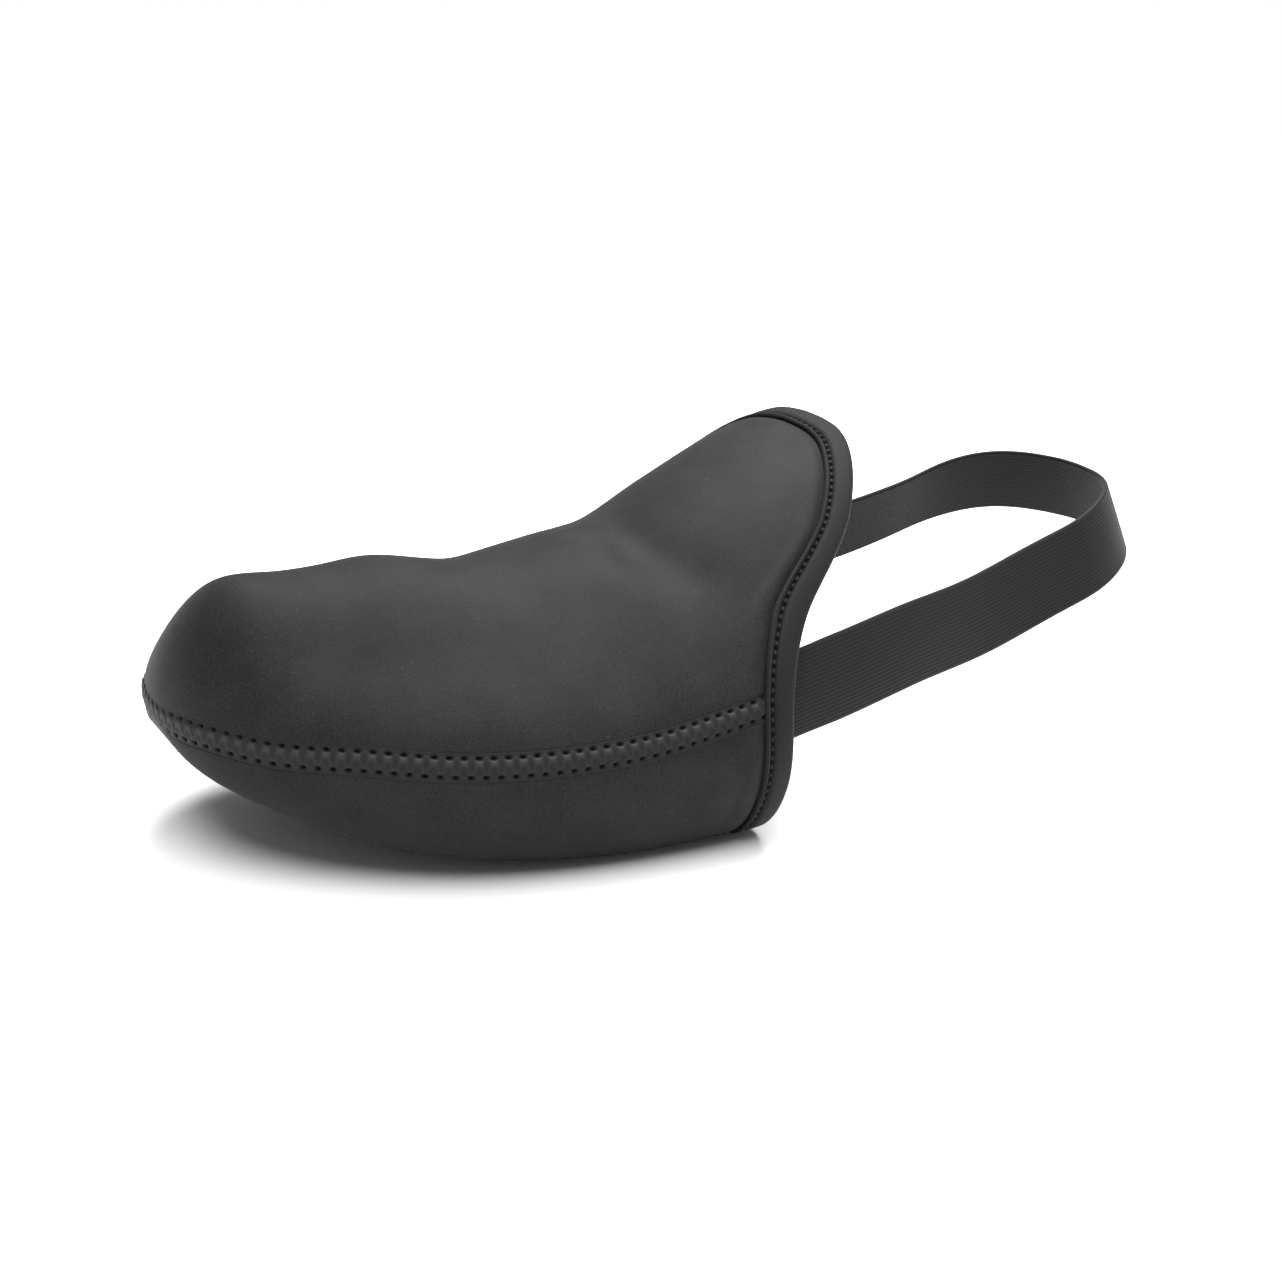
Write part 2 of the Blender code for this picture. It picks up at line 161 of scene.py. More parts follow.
def smooth_through(places, values, at):
    """Smooth curve through a column's values: a cubic whose slopes come from three points each."""
    places, values, at = np.asarray(places), np.asarray(values), np.asarray(at, dtype=float)
    gaps = np.diff(places)
    rises = np.diff(values) / gaps
    inner = (rises[:-1] * gaps[1:] + rises[1:] * gaps[:-1]) / (gaps[1:] + gaps[:-1])
    slopes = np.concatenate([rises[:1], inner, rises[-1:]])
    step = np.clip(np.searchsorted(places, at, side="right") - 1, 0, len(gaps) - 1)
    u = (at - places[step]) / gaps[step]
    return (values[step] * (1 + 2 * u) * (1 - u) ** 2 + values[step + 1] * u * u * (3 - 2 * u)
            + gaps[step] * u * (1 - u) * ((1 - u) * slopes[step] - u * slopes[step + 1]))


TURNS = turn(section_column("along"))
SIDE_SHIFT = BALL_WIDTH / 4 * (section_column("outer").max() - section_column("inner").max())
TOE_TIP = np.array([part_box("upper")[0].x, SIDE_SHIFT, 0.0])


def share(name, along):
    return smooth_through(TURNS, section_column(name), turn(along))


def ease(value):
    """Smooth step from 0 to 1."""
    value = np.clip(value, 0.0, 1.0)
    return value * value * (3 - 2 * value)


def half_round(way):
    """Way round from 0 to 4 as the solids' place round (0 to 2) and the side's sign."""
    way = np.mod(way, 4.0)
    return np.where(way <= 2, way, 4 - way), np.where(way <= 2, -1.0, 1.0)


def opening_x(way):
    """Distance from the toe tip to the edge of the opening."""
    around, _ = half_round(way)
    back = smooth_through(OPENING_AROUND, OPENING_BACK, around)
    return SOLE_LENGTH + back * (TOP_LENGTH - SOLE_LENGTH)


def lift(x, around):
    """Rise of the underside near the opening, which lets the binding lie on the floor."""
    ramp = ease(((x - SOLE_LENGTH) / BINDING_WIDTH + 2.5) / 1.5)
    return RIDGE_RAISE * ramp * ease((1.0 - around) / 0.4)


def last_point(x, way):
    """Points of the last, x from the toe tip and way round from 0 to 4; one row each."""
    around, side = half_round(way)
    along = x / TOP_LENGTH
    half = BALL_WIDTH / 2
    width = np.clip(np.where(side < 0, share("outer", along), share("inner", along)), 0, None) * half
    under = np.clip(share("under", along), 0, None) * TOE_SPRING
    crest = TOE_SPRING + share("crest", along) * (INSTEP_HEIGHT - TOE_SPRING)
    split = share("widest", along)
    pinch = share("pinch", along)
    widest = under + split * (crest - under)
    rise = np.clip((share("seam", along) - split) / (1 - split), 0, 1)
    pull = 1 - pinch * 4 * rise * rise * (1 - rise * rise)
    reach = 1 + np.arcsin(np.clip(rise / pull, 0, 1)) * 2 / math.pi
    path = np.where(around <= 1, around * reach, reach + (around - 1) * (2 - reach))
    corner = CORNER_SHARE * width
    low_angle = np.clip(2 * path - 1, 0, 1) * math.pi / 2
    low_y = np.clip(2 * path, 0, 1) * (width - corner) + corner * np.sin(low_angle)
    low_z = widest - (widest - under) * np.cos(low_angle)
    angle = np.clip(path - 1, 0, 1) * math.pi / 2
    pull = 1 - pinch * np.sin(2 * angle) ** 2
    over = np.clip(np.sin(angle) * pull, 0, 1)
    high_y = width * np.cos(angle) * pull + side * share("lean", along) * half * over ** 1.5
    high_z = widest + (crest - widest) * np.sin(angle) * pull
    centre = TOE_OFFSET * np.clip(1 - along / TOE_BEND, 0, None) ** 2
    y = side * np.where(path < 1, low_y, high_y) + centre
    z = np.where(path < 1, low_z, high_z) + lift(x, around)
    return np.stack([x + 0 * y, y, z], axis=-1) + TOE_TIP


def from_edge(way, back):
    """Distance from the toe tip of a place in front of the opening's edge, measured square to it."""
    edge = opening_x(way)
    low, high = way - 0.02, way + 0.02
    across = np.linalg.norm(last_point(edge, high) - last_point(edge, low), axis=-1)
    slant = np.hypot(opening_x(high) - opening_x(low), across) / across
    return edge - back * slant


def unit(vectors):
    return vectors / np.maximum(np.linalg.norm(vectors, axis=-1, keepdims=True), 1e-12)


def last_normal(x, way):
    """Outward direction of the last."""
    step = 0.004 * TOP_LENGTH
    stride = 0.02
    x = np.maximum(x, 2 * step)
    ahead = last_point(x + step, way) - last_point(x - step, way)
    across = last_point(x, way + stride) - last_point(x, way - stride)
    return unit(np.cross(ahead, across))


def fold_heights(points):
    """Rise of the cloth at points of the last, from the table of folds."""
    total = np.zeros(len(points))
    for _, places, width, height in FOLDS:
        u = np.linspace(0, 1, 25)
        along = smooth_through((0, 0.5, 1), [place[0] for place in places], u)
        way = smooth_through((0, 0.5, 1), [place[1] for place in places], u)
        curve = last_point(along * TOP_LENGTH, way)
        gaps = np.linalg.norm(points[:, None, :] - curve[None, :, :], axis=-1)
        fade = np.sin(math.pi * np.clip(u * 0.96 + 0.02, 0, 1)) ** 0.8
        total += height * np.max(np.exp(-(gaps / width) ** 2) * fade, axis=1)
    return total


def cloth_point(x, way, depth):
    """Points of the folded cloth at a depth under its face."""
    points = last_point(x, way)
    return points + last_normal(x, way) * (fold_heights(points) - depth)[:, None]


def grid_mesh(columns, rows):
    """Grid of faces, and the place of each corner as u and v from 0 to 1."""
    mesh = bmesh.new()
    bmesh.ops.create_grid(mesh, x_segments=columns, y_segments=rows, size=1.0)
    spots = np.array([vertex.co for vertex in mesh.verts])
    return mesh, (spots[:, 0] + 1) / 2, (spots[:, 1] + 1) / 2


def move_corners(mesh, points):
    for vertex, point in zip(mesh.verts, points):
        vertex.co = point


def mark_corners(mesh, name, values):
    """A number on each corner, for a material to read."""
    layer = mesh.verts.layers.float.new(name)
    for vertex, value in zip(mesh.verts, values):
        vertex[layer] = value


def close_up(mesh):
    """Joins the edges that meet and turns the faces outwards."""
    bmesh.ops.remove_doubles(mesh, verts=mesh.verts, dist=0.000005)
    bmesh.ops.recalc_face_normals(mesh, faces=mesh.faces)


def add_piece(name, mesh, material, replaces=None):
    """Finished piece on the overshoe's body."""
    data = bpy.data.meshes.new(name)
    mesh.to_mesh(data)
    mesh.free()
    data.materials.append(material)
    data.shade_smooth()
    piece = bpy.data.objects.new(name, data)
    bpy.context.scene.collection.objects.link(piece)
    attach(piece, BODY)
    if replaces:
        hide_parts(replaces)
    return piece


class Wire:
    """A socket of a material, with arithmetic that adds Math nodes."""

    def __init__(self, finish, socket):
        self.finish = finish
        self.socket = socket

    def math(self, operation, *values):
        return self.finish.node("ShaderNodeMath", {"operation": operation}, dict(enumerate(values)))

    def __add__(self, other):
        return self.math("ADD", self, other)

    def __sub__(self, other):
        return self.math("SUBTRACT", self, other)

    def __rsub__(self, other):
        return self.math("SUBTRACT", other, self)

    def __mul__(self, other):
        return self.math("MULTIPLY", self, other)

    __radd__ = __add__
    __rmul__ = __mul__


class Finish:
    """Material with one Principled shader, built from Wires."""

    def __init__(self, name, **steady):
        self.material = bpy.data.materials.new(name)
        self.material.use_nodes = True
        self.tree = self.material.node_tree
        self.shader = self.tree.nodes["Principled BSDF"]
        for socket, value in steady.items():
            self.shader.inputs[socket.replace("_", " ")].default_value = value

    def node(self, kind, settings, inputs, output=0):
        """One node: its settings, the values or wires of its inputs, and the wanted output."""
        node = self.tree.nodes.new(kind)
        for setting, value in settings.items():
            setattr(node, setting, value)
        for socket, value in inputs.items():
            if isinstance(value, Wire):
                self.tree.links.new(value.socket, node.inputs[socket])
            else:
                node.inputs[socket].default_value = value
        return Wire(self, node.outputs[output])

    def wire(self, socket, value):
        self.tree.links.new(value.socket, self.shader.inputs[socket])

    def place(self):
        return self.node("ShaderNodeTexCoord", {}, {}, "Object")

    def attribute(self, name):
        return self.node("ShaderNodeAttribute", {"attribute_name": name}, {}, "Fac")

    def noise(self, vector, scale, detail=2.0, roughness=0.5):
        inputs = {"Vector": vector, "Scale": scale, "Detail": detail, "Roughness": roughness}
        return self.node("ShaderNodeTexNoise", {}, inputs, "Fac")

    def between(self, value, low, high):
        """0 below low, 1 above high and even between."""
        inputs = {"Value": value, "From Min": low, "From Max": high}
        return self.node("ShaderNodeMapRange", {"clamp": True}, inputs, "Result")

    def mix(self, share_of_b, colour_a, colour_b):
        settings = {"data_type": "RGBA", "blend_type": "MIX"}
        inputs = {0: share_of_b, 6: colour_a, 7: colour_b}
        return self.node("ShaderNodeMix", settings, inputs, 2)

    def bump(self, height, strength, distance, under=None):
        inputs = {"Height": height, "Strength": strength, "Distance": distance}
        if under:
            inputs["Normal"] = under
        return self.node("ShaderNodeBump", {}, inputs, "Normal")


def colour(red, green, blue):
    return (red, green, blue, 1.0)


def neoprene_finish(name, dark, light):
    """Jersey-faced neoprene: fine knit grain, pale flecks and a soft sheen."""
    finish = Finish(name, Metallic=0.0, Sheen_Weight=0.03, Sheen_Roughness=0.40, Specular_IOR_Level=0.12)
    place = finish.place()
    grain = finish.noise(place, 2600.0, 2.0, 0.6)
    mottle = finish.noise(place, 90.0, 3.0, 0.55)
    flecks = finish.between(finish.noise(place, 1500.0, 1.0, 0.4), 0.68, 0.80)
    tone = finish.mix(finish.between(grain * 0.7 + mottle * 0.3, 0.38, 0.62), dark, light)
    finish.wire("Base Color", finish.mix(flecks * 0.3, tone, colour(0.060, 0.052, 0.048)))
    finish.wire("Roughness", finish.between(grain, 0.0, 1.0) * 0.14 + 0.58)
    knit = finish.bump(grain, 0.30, 0.00018)
    finish.wire("Normal", finish.bump(mottle, 0.10, 0.0006, knit))
    return finish.material


def tape_finish():
    """Stretch tape of the binding: smooth, with painted shade darkening its stitch pits and the groove along
    its stitches.
    """
    finish = Finish("binding_tape", Metallic=0.0, Sheen_Weight=0.04,
                    Sheen_Roughness=0.4, Specular_IOR_Level=0.12)
    place = finish.place()
    grain = finish.noise(place, 3200.0, 2.0, 0.6)
    painted_pit_shade = finish.attribute("hole_and_shade")
    tone = finish.mix(grain, colour(0.008, 0.008, 0.0084), colour(0.017, 0.017, 0.0174))
    # Painted shade: the tape turns near black in the stitch pits and along the stitch groove
    finish.wire("Base Color", finish.mix(painted_pit_shade, tone, colour(0.005, 0.005, 0.005)))
    finish.wire("Roughness", grain * 0.12 + 0.62)
    finish.wire("Normal", finish.bump(grain, 0.25, 0.00012))
    return finish.material


def thread_finish():
    """Spun polyester thread."""
    finish = Finish("thread", Metallic=0.0, Sheen_Weight=0.2, Sheen_Roughness=0.35, Specular_IOR_Level=0.25)
    fibres = finish.noise(finish.place(), 5200.0, 2.0, 0.6)
    finish.wire("Base Color", finish.mix(fibres, colour(0.008, 0.008, 0.0084), colour(0.022, 0.022, 0.0224)))
    finish.wire("Roughness", fibres * 0.2 + 0.5)
    finish.wire("Normal", finish.bump(fibres, 0.4, 0.0001))
    return finish.material


def seam_finish():
    """Overlocked band: neoprene pulled in by thread, with painted shade in the needle holes."""
    finish = Finish("overlocked_band", Metallic=0.0, Sheen_Weight=0.05,
                    Sheen_Roughness=0.4, Specular_IOR_Level=0.15)
    grain = finish.noise(finish.place(), 3400.0, 2.0, 0.6)
    tone = finish.mix(grain, colour(0.007, 0.007, 0.0074), colour(0.016, 0.016, 0.0164))
    threads = finish.mix(finish.attribute("thread"), tone, colour(0.030, 0.030, 0.031))
    # Painted shade: near black in the needle holes
    finish.wire("Base Color", finish.mix(finish.attribute("hole_and_shade"), threads, colour(0.001, 0.001, 0.001)))
    finish.wire("Roughness", grain * 0.15 + 0.58)
    finish.wire("Normal", finish.bump(grain, 0.3, 0.00015))
    return finish.material


def elastic_finish():
    """Woven elastic: ribs along the band and fine cross threads, with painted shade in the grooves between
    ribs and lighter rib tops.
    """
    finish = Finish("ribbed_elastic", Metallic=0.0, Sheen_Weight=0.08,
                    Sheen_Roughness=0.4, Specular_IOR_Level=0.15)
    place = finish.place()
    grain = finish.noise(place, 2800.0, 2.0, 0.6)
    rib_shade = finish.attribute("rib_shade")
    # Painted shade: darker in the grooves between the ribs, lighter on their raised tops
    tone = finish.mix(rib_shade * 0.7 + grain * 0.3, colour(0.004, 0.004, 0.0042), colour(0.017, 0.017, 0.0175))
    finish.wire("Base Color", tone)
    finish.wire("Roughness", grain * 0.15 + 0.56)
    walk = finish.attribute("walk") * 9.0
    picks = walk.math("SINE", walk)
    finish.wire("Normal", finish.bump(picks * 0.3 + grain * 0.7, 0.35, 0.00012))
    return finish.material


def build_cloth(name, first_way, last_way, columns, rows, material, node):
    """Neoprene panel from the toe tip to under the binding, with its wall inside."""
    clear = BINDING_TAPE - BINDING_RAISE + GAP
    mesh, u, v = grid_mesh(columns, rows)
    crowded = v - 0.8 * np.sin(2 * math.pi * v) / (2 * math.pi)
    way = first_way + (last_way - first_way) * crowded
    end = from_edge(way, HIDDEN_END)
    x = (1 - np.cos(u * math.pi / 2)) * end
    back = (opening_x(way) - x) / (opening_x(way) - end) * HIDDEN_END
    pinched = ease((BINDING_WIDTH + PINCH_START - back) / PINCH_RUN)
    puffed = PUFF_RAISE * np.exp(-((back - BINDING_WIDTH - PUFF_PLACE) / PUFF_RUN) ** 2)
    seam_way = np.where(v < 0.5, first_way, last_way)
    to_seam = np.linalg.norm(last_point(x, way) - last_point(x, seam_way), axis=1)
    sunk = SEAM_SINK * (1 - ease((to_seam - SEAM_REACH + 0.0011) / 0.0009)) * (1 - pinched)
    sunk *= ease((x - 0.0005) / 0.0020)
    move_corners(mesh, cloth_point(x, way, clear * pinched - puffed + sunk))
    layer = mesh.verts.layers.deform.verify()
    for vertex, share_pinched in zip(mesh.verts, pinched):
        vertex[layer][0] = 1 - share_pinched * 2 * clear / NEOPRENE
    close_up(mesh)
    middle = Vector(TOE_TIP) + Vector((TOP_LENGTH / 3, 0, TOE_SPRING))
    face = max(mesh.faces, key=lambda face: (face.calc_center_median() - middle).length)
    if (face.calc_center_median() - middle).dot(face.normal) < 0:
        bmesh.ops.reverse_faces(mesh, faces=mesh.faces)
    piece = add_piece(name, mesh, material, node)
    piece.vertex_groups.new(name="wall")
    wall = piece.modifiers.new("wall", "SOLIDIFY")
    wall.thickness = NEOPRENE
    wall.offset = -1.0
    wall.vertex_group = "wall"


def form_tree():
    """Search tree of the whole folded cloth, to lay the seam on."""
    mesh, u, v = grid_mesh(200, 320)
    way = 4 * v
    x = (1 - np.cos(u * math.pi / 2)) * from_edge(way, HIDDEN_END)
    move_corners(mesh, cloth_point(x, way, 0.0))
    close_up(mesh)
    tree = BVHTree.FromBMesh(mesh)
    mesh.free()
    return tree


def seam_line(count):
    """Evenly spaced points of the seam, from the outer side round the toe to the inner side."""
    run = np.linspace(1, 0, 400)
    halves = []
    for way, shares in ((1.0, run), (3.0, run[::-1])):
        ways = np.full(len(shares), way)
        x = (1 - np.cos(shares * math.pi / 2)) * from_edge(ways, BINDING_WIDTH - SEAM_END)
        halves.append(cloth_point(np.maximum(x, 0.00002), ways, 0.0))
    line = np.concatenate(halves)
    length = np.concatenate([[0], np.cumsum(np.linalg.norm(np.diff(line, axis=0), axis=1))])
    even = np.linspace(0, length[-1], count)
    return np.stack([np.interp(even, length, line[:, k]) for k in range(3)], axis=1), length[-1]


def build_seam(material):
    """Overlocked seam: two rows of needle holes with the thread crossing between them."""
    half = SEAM_WIDTH / 2
    line, length = seam_line(1500)
    ahead = unit(np.gradient(line, axis=0))
    tree = form_tree()
    outward = np.array([tree.find_nearest(Vector(point))[1] for point in line])
    kernel = np.ones(15) / 15
    outward = unit(np.stack([np.convolve(np.pad(outward[:, k], 7, "edge"), kernel, "valid")
                             for k in range(3)], axis=1))
    up = unit(np.cross(outward, ahead))
    up *= np.where(up[:, 2:] < 0, -1, 1)
    mesh, u, v = grid_mesh(len(line) - 1, 30)
    station = np.rint(u * (len(line) - 1)).astype(int)
    along = u * length
    across = (2 * v - 1) * SEAM_REACH
    phase = np.mod(along / SEAM_PITCH, 1.0)
    turned = half - 0.0002
    zigzag = turned * (4 * np.abs(phase - 0.5) - 1)
    slope = math.hypot(1.0, 4 * turned / SEAM_PITCH)
    thread = np.exp(-((across - zigzag) / slope / THREAD) ** 2) * (np.abs(across) < half + 0.0002)
    upper_gap = (np.mod(along / SEAM_PITCH + 0.5, 1.0) - 0.5) * SEAM_PITCH
    lower_gap = (phase - 0.5) * SEAM_PITCH
    hole_length, hole_width, hole_depth = SEAM_HOLE
    rows = half + 0.0001
    hole_and_shade = np.maximum(np.exp(-((upper_gap / hole_length) ** 2 + ((across - rows) / hole_width) ** 2)),
                     np.exp(-((lower_gap / hole_length) ** 2 + ((across + rows) / hole_width) ** 2)))
    puff = np.exp(-((upper_gap / 0.0009) ** 2 + ((across - half + 0.0009) / 0.0007) ** 2))
    pillow = PILLOW_RAISE * (1 - (np.abs(across) / (half + 0.0006)) ** 4)
    dip = 0.0002 * ease((np.abs(across) - SEAM_REACH + 0.0006) / 0.0006)
    height = np.maximum(pillow, 0.0) + 0.00012 * thread + LOOP_RAISE * puff - hole_depth * hole_and_shade - dip
    height -= 0.0009 * (1 - ease(np.minimum(along, length - along) / 0.0018))
    sides = line[station] + up[station] * across[:, None]
    points = []
    for side, rise in zip(sides, height):
        spot, normal, _, _ = tree.find_nearest(Vector(side))
        points.append(spot + normal * rise)
    move_corners(mesh, points)
    mark_corners(mesh, "thread", np.clip(0.3 * thread + 0.9 * puff, 0, 1) * (1 - hole_and_shade))
    # Marks the needle holes for painted shade; the holes are also sunk in the mesh
    mark_corners(mesh, "hole_and_shade", np.clip(hole_and_shade * 1.3, 0, 1))
    bmesh.ops.recalc_face_normals(mesh, faces=mesh.faces)
    add_piece("overlock_seam", mesh, material)


def ring_ways(count, back):
    """Evenly spaced ways round the opening, and the length of that ring."""
    way = np.linspace(0, 4, 1200)
    line = last_point(from_edge(way, back), way)
    length = np.concatenate([[0], np.cumsum(np.linalg.norm(np.diff(line, axis=0), axis=1))])
    return np.interp(np.linspace(0, length[-1], count), length, way), length[-1]


def binding_profile(count):
    """Closed section of the binding as distances in front of the opening's edge and depths."""
    middle = NEOPRENE / 2
    radius = middle + BINDING_RAISE
    front = BINDING_WIDTH
    groove = front - RIDGE_WIDTH - GROOVE_WIDTH
    outside = [
        (front - 0.0002, middle - radius + BINDING_TAPE),
        (front, -0.2 * RIDGE_RAISE),
        (front - 0.25 * RIDGE_WIDTH, -0.85 * RIDGE_RAISE),
        (front - 0.50 * RIDGE_WIDTH, -RIDGE_RAISE),
        (front - 0.80 * RIDGE_WIDTH, -0.75 * RIDGE_RAISE),
        (front - RIDGE_WIDTH - 0.0002, 0.1 * BINDING_RAISE),
        (front - RIDGE_WIDTH - 0.5 * GROOVE_WIDTH, 0.4 * BINDING_RAISE),
        (groove + 0.0002, -0.4 * BINDING_RAISE),
        (groove - 0.0006, -1.15 * BINDING_RAISE),
        (groove - 0.0018, -1.3 * BINDING_RAISE),
    ]
    turns = np.linspace(0, math.pi, 11)
    fold = [(radius * (1 - math.sin(a)), middle - radius * math.cos(a)) for a in turns]
    inner = radius - BINDING_TAPE
    lining = [(front * 0.6, NEOPRENE + BINDING_RAISE), (front, NEOPRENE + BINDING_RAISE),
              (front, middle + inner), (front * 0.6, middle + inner)]
    hollow = [(radius - inner * math.sin(a), middle - inner * math.cos(a)) for a in turns[::-1]]
    points = np.array(outside + fold + lining + hollow + [(front * 0.6, middle - inner), outside[0]])
    walk = np.concatenate([[0], np.cumsum(np.hypot(*np.diff(points, axis=0).T) + 0.0001)])
    seen, hidden = 2 * count // 5, count - 2 * count // 5
    split = walk[len(outside) - 1]
    places = np.concatenate([np.linspace(0, split, seen, endpoint=False),
                             np.linspace(split, walk[-1], hidden + 1)])
    return smooth_through(walk, points[:, 0], places), smooth_through(walk, points[:, 1], places)


def build_binding(tape, thread):
    """Tape folded over the opening's edge, drawn in by a row of stitches behind its ridge."""
    stitch_back = BINDING_WIDTH - RIDGE_WIDTH - 0.5 * GROOVE_WIDTH
    stations, profile = 800, 100
    ways, length = ring_ways(stations + 1, stitch_back)
    backs, depths = binding_profile(profile)
    mesh, u, v = grid_mesh(stations, profile)
    station = np.rint(u * stations).astype(int)
    cut = np.rint(v * profile).astype(int)
    way, back, depth = ways[station], backs[cut], depths[cut]
    stitches = round(length / STITCH_PITCH)
    outer_face = (depth < NEOPRENE / 3) & (back > 0.004)
    flat = cloth_point(from_edge(way, back), way, depth)
    holes = np.interp((np.arange(stitches) + 0.5) / stitches * stations, np.arange(stations + 1), ways)
    tree = KDTree(stitches)
    for k, hole in enumerate(cloth_point(from_edge(holes, stitch_back), holes, 0.0002)):
        tree.insert(hole, k)
    tree.balance()
    away = np.array([tree.find(point)[2] for point in flat])
    hole_and_shade = np.exp(-(away / BINDING_HOLE[0]) ** 2) * outer_face
    depth = depth + BINDING_HOLE[1] * hole_and_shade
    # Painted shade: a dark line along the stitch groove, where shade falls
    groove = np.exp(-((back - stitch_back) / GROOVE_SHADE) ** 2) * outer_face
    move_corners(mesh, cloth_point(from_edge(way, back), way, depth))
    # Marks the stitch holes and the groove for painted shade; the holes are also sunk in the mesh
    mark_corners(mesh, "hole_and_shade", np.clip(1.3 * hole_and_shade + 0.55 * groove, 0, 1))
    close_up(mesh)
    add_piece("folded_binding", mesh, tape, "opening_binding")

    spots = np.interp(np.arange(stitches) / stitches * stations, np.arange(stations + 1), ways)
    x = from_edge(spots, stitch_back)
    centre = cloth_point(x, spots, np.full(stitches, 0.00002))
    ahead = unit(np.roll(centre, -1, axis=0) - np.roll(centre, 1, axis=0))
    outward = last_normal(x, spots)
    lay_stitches("binding_stitches", centre, ahead, outward, 0.5 * STITCH_PITCH, thread)


def lay_stitches(name, centres, aheads, outwards, length, material):
    """One short raised thread at each centre, in one mesh."""
    mesh = bmesh.new()
    for centre, ahead, outward in zip(centres, aheads, outwards):
        side = unit(np.cross(outward, ahead))
        axes = Matrix((Vector(ahead) * length / 2, Vector(side) * THREAD / 2,
                       Vector(outward) * THREAD / 2)).transposed().to_4x4()
        bmesh.ops.create_icosphere(mesh, subdivisions=2, radius=1.0,
                                   matrix=Matrix.Translation(Vector(centre)) @ axes)
    bmesh.ops.recalc_face_normals(mesh, faces=mesh.faces)
    add_piece(name, mesh, material)


def wall_spine(x, way_at_height, side, cuts):
    """Points across the strap where it lies inside the wall, from its lower to its upper edge."""
    inset = NEOPRENE + BINDING_RAISE + 2 * GAP + STRAP_THICKNESS / 2
    way = WALL_AROUND if side < 0 else 4 - WALL_AROUND
    xs = np.full(len(way), x)
    wall = last_point(xs, way) - last_normal(xs, way) * inset
    length = np.concatenate([[0], np.cumsum(np.linalg.norm(np.diff(wall, axis=0), axis=1))])
    middle = np.interp(way_at_height, last_point(xs, way)[:, 2], length)
    return np.stack([np.interp(middle + cuts, length, wall[:, k]) for k in range(3)], axis=1)


def climb(way):
    """Rise of the strap's middle at a share of its way, and its steepness there per share."""
    low, high = max(way - 0.01, 0.0), min(way + 0.01, 1.0)
    rises = smooth_through(CLIMB_WAYS, CLIMB_RISES, (low, way, high))
    total = STRAP_HEEL_HEIGHT - STRAP_SIDE_HEIGHT
    return total * rises[1], total * (rises[2] - rises[0]) / (high - low)


def strap_half(side, cuts):
    """Points across the strap at each station of one side, from its end to the back of the heel."""
    way = WALL_AROUND if side < 0 else 4 - WALL_AROUND
    heights = last_point(np.full(len(way), SOLE_LENGTH), way)[:, 2]
    edge_ways = np.interp([STRAP_SIDE_HEIGHT, STRAP_SIDE_HEIGHT + STRAP_WIDTH / 2], heights, way)
    first = opening_x(edge_ways)[0] - STRAP_TUCK
    leave = opening_x(edge_ways)[1] + 2 * NEOPRENE
    radius = (HEEL_WIDTH - STRAP_THICKNESS) / 2
    heel_x = TOE_TIP[0] + HEEL_LENGTH - STRAP_THICKNESS / 2 - radius
    run = heel_x - TOE_TIP[0] - leave
    length = run + radius * math.pi / 2
    steepness = climb(0.0)[1] / length
    stations = [wall_spine(x, STRAP_SIDE_HEIGHT - steepness * (leave - x), side, cuts)
                for x in np.linspace(first, leave, 17)]

    start = stations.pop()
    centre = np.array([np.interp(0, cuts, start[:, k]) for k in range(3)])
    before = np.array([np.interp(0, cuts, stations[-4][:, k]) for k in range(3)])
    start_slope = (centre[1] - before[1]) / (centre[0] - before[0])
    start_shape = np.stack([start[:, 2] - centre[2], (start[:, 1] - centre[1]) * side], axis=1)
    heel_shape = np.stack([cuts * math.cos(HEEL_LEAN), -cuts * math.sin(HEEL_LEAN)], axis=1)

    def station(x, y, outward, way_along):
        rise, steepness = climb(way_along)
        ahead = np.array([outward[1] * side, -outward[0] * side, 0.0])
        across = unit(np.array([0, 0, 1.0]) - ahead * steepness / length)
        shape = start_shape + (heel_shape - start_shape) * float(ease(way_along))
        middle = np.array([x, y, centre[2] + rise])
        return middle + shape[:, :1] * across + shape[:, 1:] * outward

    for u in np.linspace(0, 1, 60, endpoint=False):
        y = (centre[1] * (1 + 2 * u) * (1 - u) ** 2 + (side * radius + SIDE_SHIFT) * u * u * (3 - 2 * u)
             + start_slope * run * u * (1 - u) ** 2)
        stations.append(station(centre[0] + u * run, y, np.array([0, side, 0.0]), u * run / length))
    for angle in np.linspace(0, math.pi / 2, 36):
        outward = np.array([math.sin(angle), side * math.cos(angle), 0.0])
        stations.append(station(heel_x + radius * outward[0], radius * outward[1] + SIDE_SHIFT, outward,
                                (run + radius * angle) / length))
    return stations


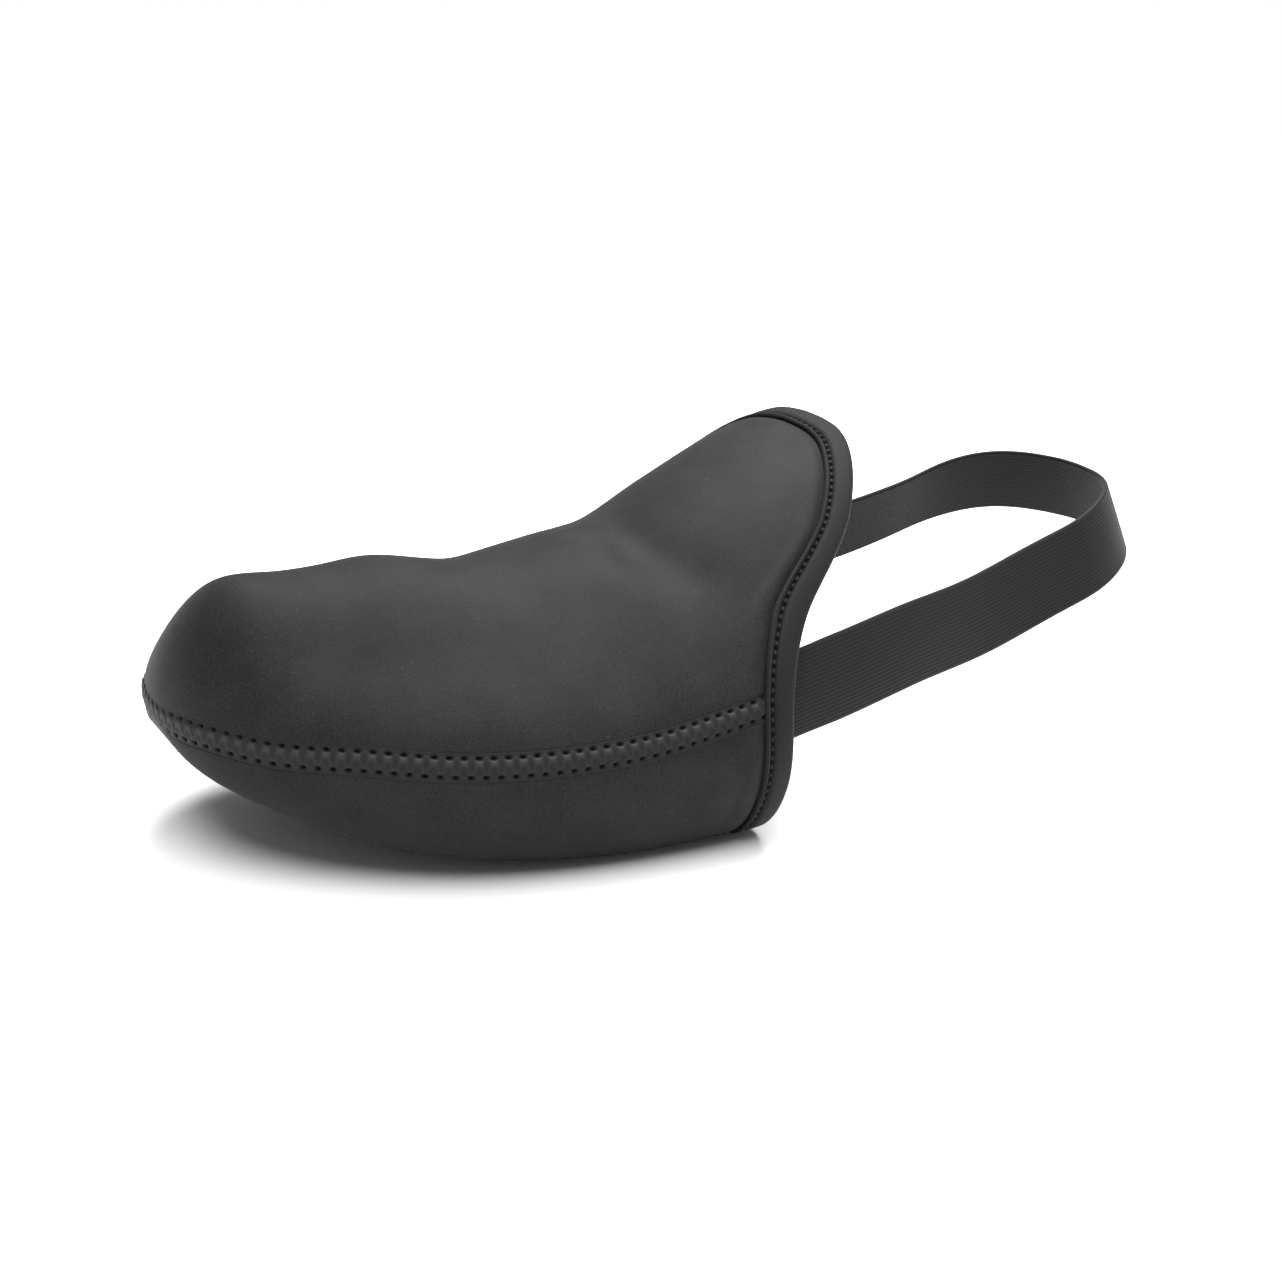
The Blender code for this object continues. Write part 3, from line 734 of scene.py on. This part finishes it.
def build_strap(material):
    """Woven elastic from one side of the opening round the heel, with its ribs raised."""
    ribs = 22
    steps = ribs * 4
    cuts = np.linspace(-0.5, 0.5, steps + 1) * STRAP_WIDTH
    spines = np.array(strap_half(-1, cuts) + strap_half(1, cuts)[-2::-1])
    # Evened over seven stations, so that it leaves the wall without a kink
    padded = np.concatenate([spines[:1]] * 3 + [spines] + [spines[-1:]] * 3)
    spines = np.mean([padded[k:k + len(spines)] for k in range(7)], axis=0)
    ahead = unit(np.gradient(spines, axis=0))
    across = unit(np.gradient(spines, axis=1))
    outward = unit(np.cross(ahead, across))
    rib_wave = 0.5 + 0.5 * np.cos(2 * math.pi * ribs * cuts / STRAP_WIDTH)
    edge = np.clip((0.5 * STRAP_WIDTH - np.abs(cuts)) / 0.0008, 0, 1)
    thickness = STRAP_THICKNESS / 2 * np.sqrt(np.clip(1 - (1 - edge) ** 2, 0.04, 1))
    thickness = thickness - 0.00011 * (1 - rib_wave) * edge
    ring = 2 * steps + 2
    mesh, u, v = grid_mesh(len(spines) - 1, ring)
    station = np.rint(u * (len(spines) - 1)).astype(int)
    place = np.mod(np.rint(v * ring).astype(int), ring)
    face = np.where(place <= steps, 1.0, -1.0)
    cut = np.where(place <= steps, place, 2 * steps + 1 - place)
    move_corners(mesh, spines[station, cut] + outward[station, cut] * (face * thickness[cut])[:, None])
    # Marks the rib wave for the painted shade between the ribs
    mark_corners(mesh, "rib_shade", rib_wave[cut])
    walk = np.concatenate([[0], np.cumsum(np.linalg.norm(np.diff(spines[:, steps // 2], axis=0), axis=1))])
    mark_corners(mesh, "walk", walk[station] * 1000)
    close_up(mesh)
    bmesh.ops.holes_fill(mesh, edges=[edge for edge in mesh.edges if edge.is_boundary], sides=0)
    add_piece("elastic_strap", mesh, material, "heel_strap")


def build_floor():
    """Pale studio floor."""
    mesh = bmesh.new()
    bmesh.ops.create_grid(mesh, x_segments=1, y_segments=1, size=60.0)
    data = bpy.data.meshes.new("floor")
    mesh.to_mesh(data)
    mesh.free()
    finish = Finish("floor", Base_Color=colour(0.93, 0.93, 0.93), Roughness=0.9, Metallic=0.0,
                    Specular_IOR_Level=0.1)
    data.materials.append(finish.material)
    floor = bpy.data.objects.new("floor", data)
    bpy.context.scene.collection.objects.link(floor)


def add_light(name, place, aim, size, power):
    """Soft box that faces a point."""
    data = bpy.data.lights.new(name, "AREA")
    data.shape = "RECTANGLE"
    data.size, data.size_y = size
    data.energy = power
    light = bpy.data.objects.new(name, data)
    light.location = place
    light.rotation_euler = (Vector(aim) - Vector(place)).to_track_quat("-Z", "Y").to_euler()
    bpy.context.scene.collection.objects.link(light)


def build_lights():
    """White room with a weak glow, a wide sun for the floor and a soft box over the cover."""
    world = bpy.data.worlds.new("studio")
    world.use_nodes = True
    tree = world.node_tree
    room = tree.nodes["Background"]
    room.inputs["Color"].default_value = colour(1.0, 1.0, 1.0)
    room.inputs["Strength"].default_value = ROOM_GLOW
    backdrop = tree.nodes.new("ShaderNodeBackground")
    backdrop.inputs["Color"].default_value = colour(1.0, 1.0, 1.0)
    backdrop.inputs["Strength"].default_value = 1.0
    seen = tree.nodes.new("ShaderNodeLightPath")
    either = tree.nodes.new("ShaderNodeMixShader")
    tree.links.new(seen.outputs["Is Camera Ray"], either.inputs[0])
    tree.links.new(room.outputs[0], either.inputs[1])
    tree.links.new(backdrop.outputs[0], either.inputs[2])
    tree.links.new(either.outputs[0], tree.nodes["World Output"].inputs["Surface"])
    bpy.context.scene.world = world
    sun = bpy.data.lights.new("sun", "SUN")
    sun.energy = SUN_POWER
    sun.angle = SUN_ANGLE
    lamp = bpy.data.objects.new("sun", sun)
    lamp.rotation_euler = (-Vector(SUN_PLACE)).to_track_quat("-Z", "Y").to_euler()
    bpy.context.scene.collection.objects.link(lamp)
    add_light("top_box", BOX_PLACE, (-0.08, 0, 0.05), (1.0, 0.7), BOX_POWER)


def build_camera():
    """Camera at the photograph's angle, rolled as the photograph is."""
    turn_cos, turn_sin = math.cos(CAMERA_TURN), math.sin(CAMERA_TURN)
    rise_cos, rise_sin = math.cos(CAMERA_RISE), math.sin(CAMERA_RISE)
    back = Vector((turn_sin * rise_cos, -turn_cos * rise_cos, rise_sin))
    right = Vector((0, 0, 1)).cross(back).normalized()
    up = back.cross(right)
    roll_cos, roll_sin = math.cos(CAMERA_ROLL), math.sin(CAMERA_ROLL)
    axes = Matrix((right * roll_cos - up * roll_sin, right * roll_sin + up * roll_cos, back)).transposed()
    data = bpy.data.cameras.new("camera")
    data.sensor_width = SENSOR
    data.lens = LENS
    data.clip_start = 0.01
    camera = bpy.data.objects.new("camera", data)
    aim = CAMERA_AIM + Vector((TOE_TIP[0], 0, 0))
    camera.matrix_world = Matrix.Translation(aim + back * CAMERA_DISTANCE) @ axes.to_4x4()
    bpy.context.scene.collection.objects.link(camera)
    bpy.context.scene.camera = camera
    bpy.context.scene.view_settings.view_transform = "Standard"


build_floor()
build_lights()
build_camera()
upper_cloth = neoprene_finish("neoprene", colour(0.008, 0.008, 0.0084), colour(0.018, 0.018, 0.0184))
sole_cloth = neoprene_finish("sole_neoprene", colour(0.007, 0.007, 0.0074), colour(0.016, 0.016, 0.0164))
spun = thread_finish()
build_cloth("upper_cloth", 1.0, 3.0, 170, 150, upper_cloth, "upper")
build_cloth("sole_cloth", -1.0, 1.0, 150, 110, sole_cloth, "sole")
build_seam(seam_finish())
build_binding(tape_finish(), spun)
build_strap(elastic_finish())
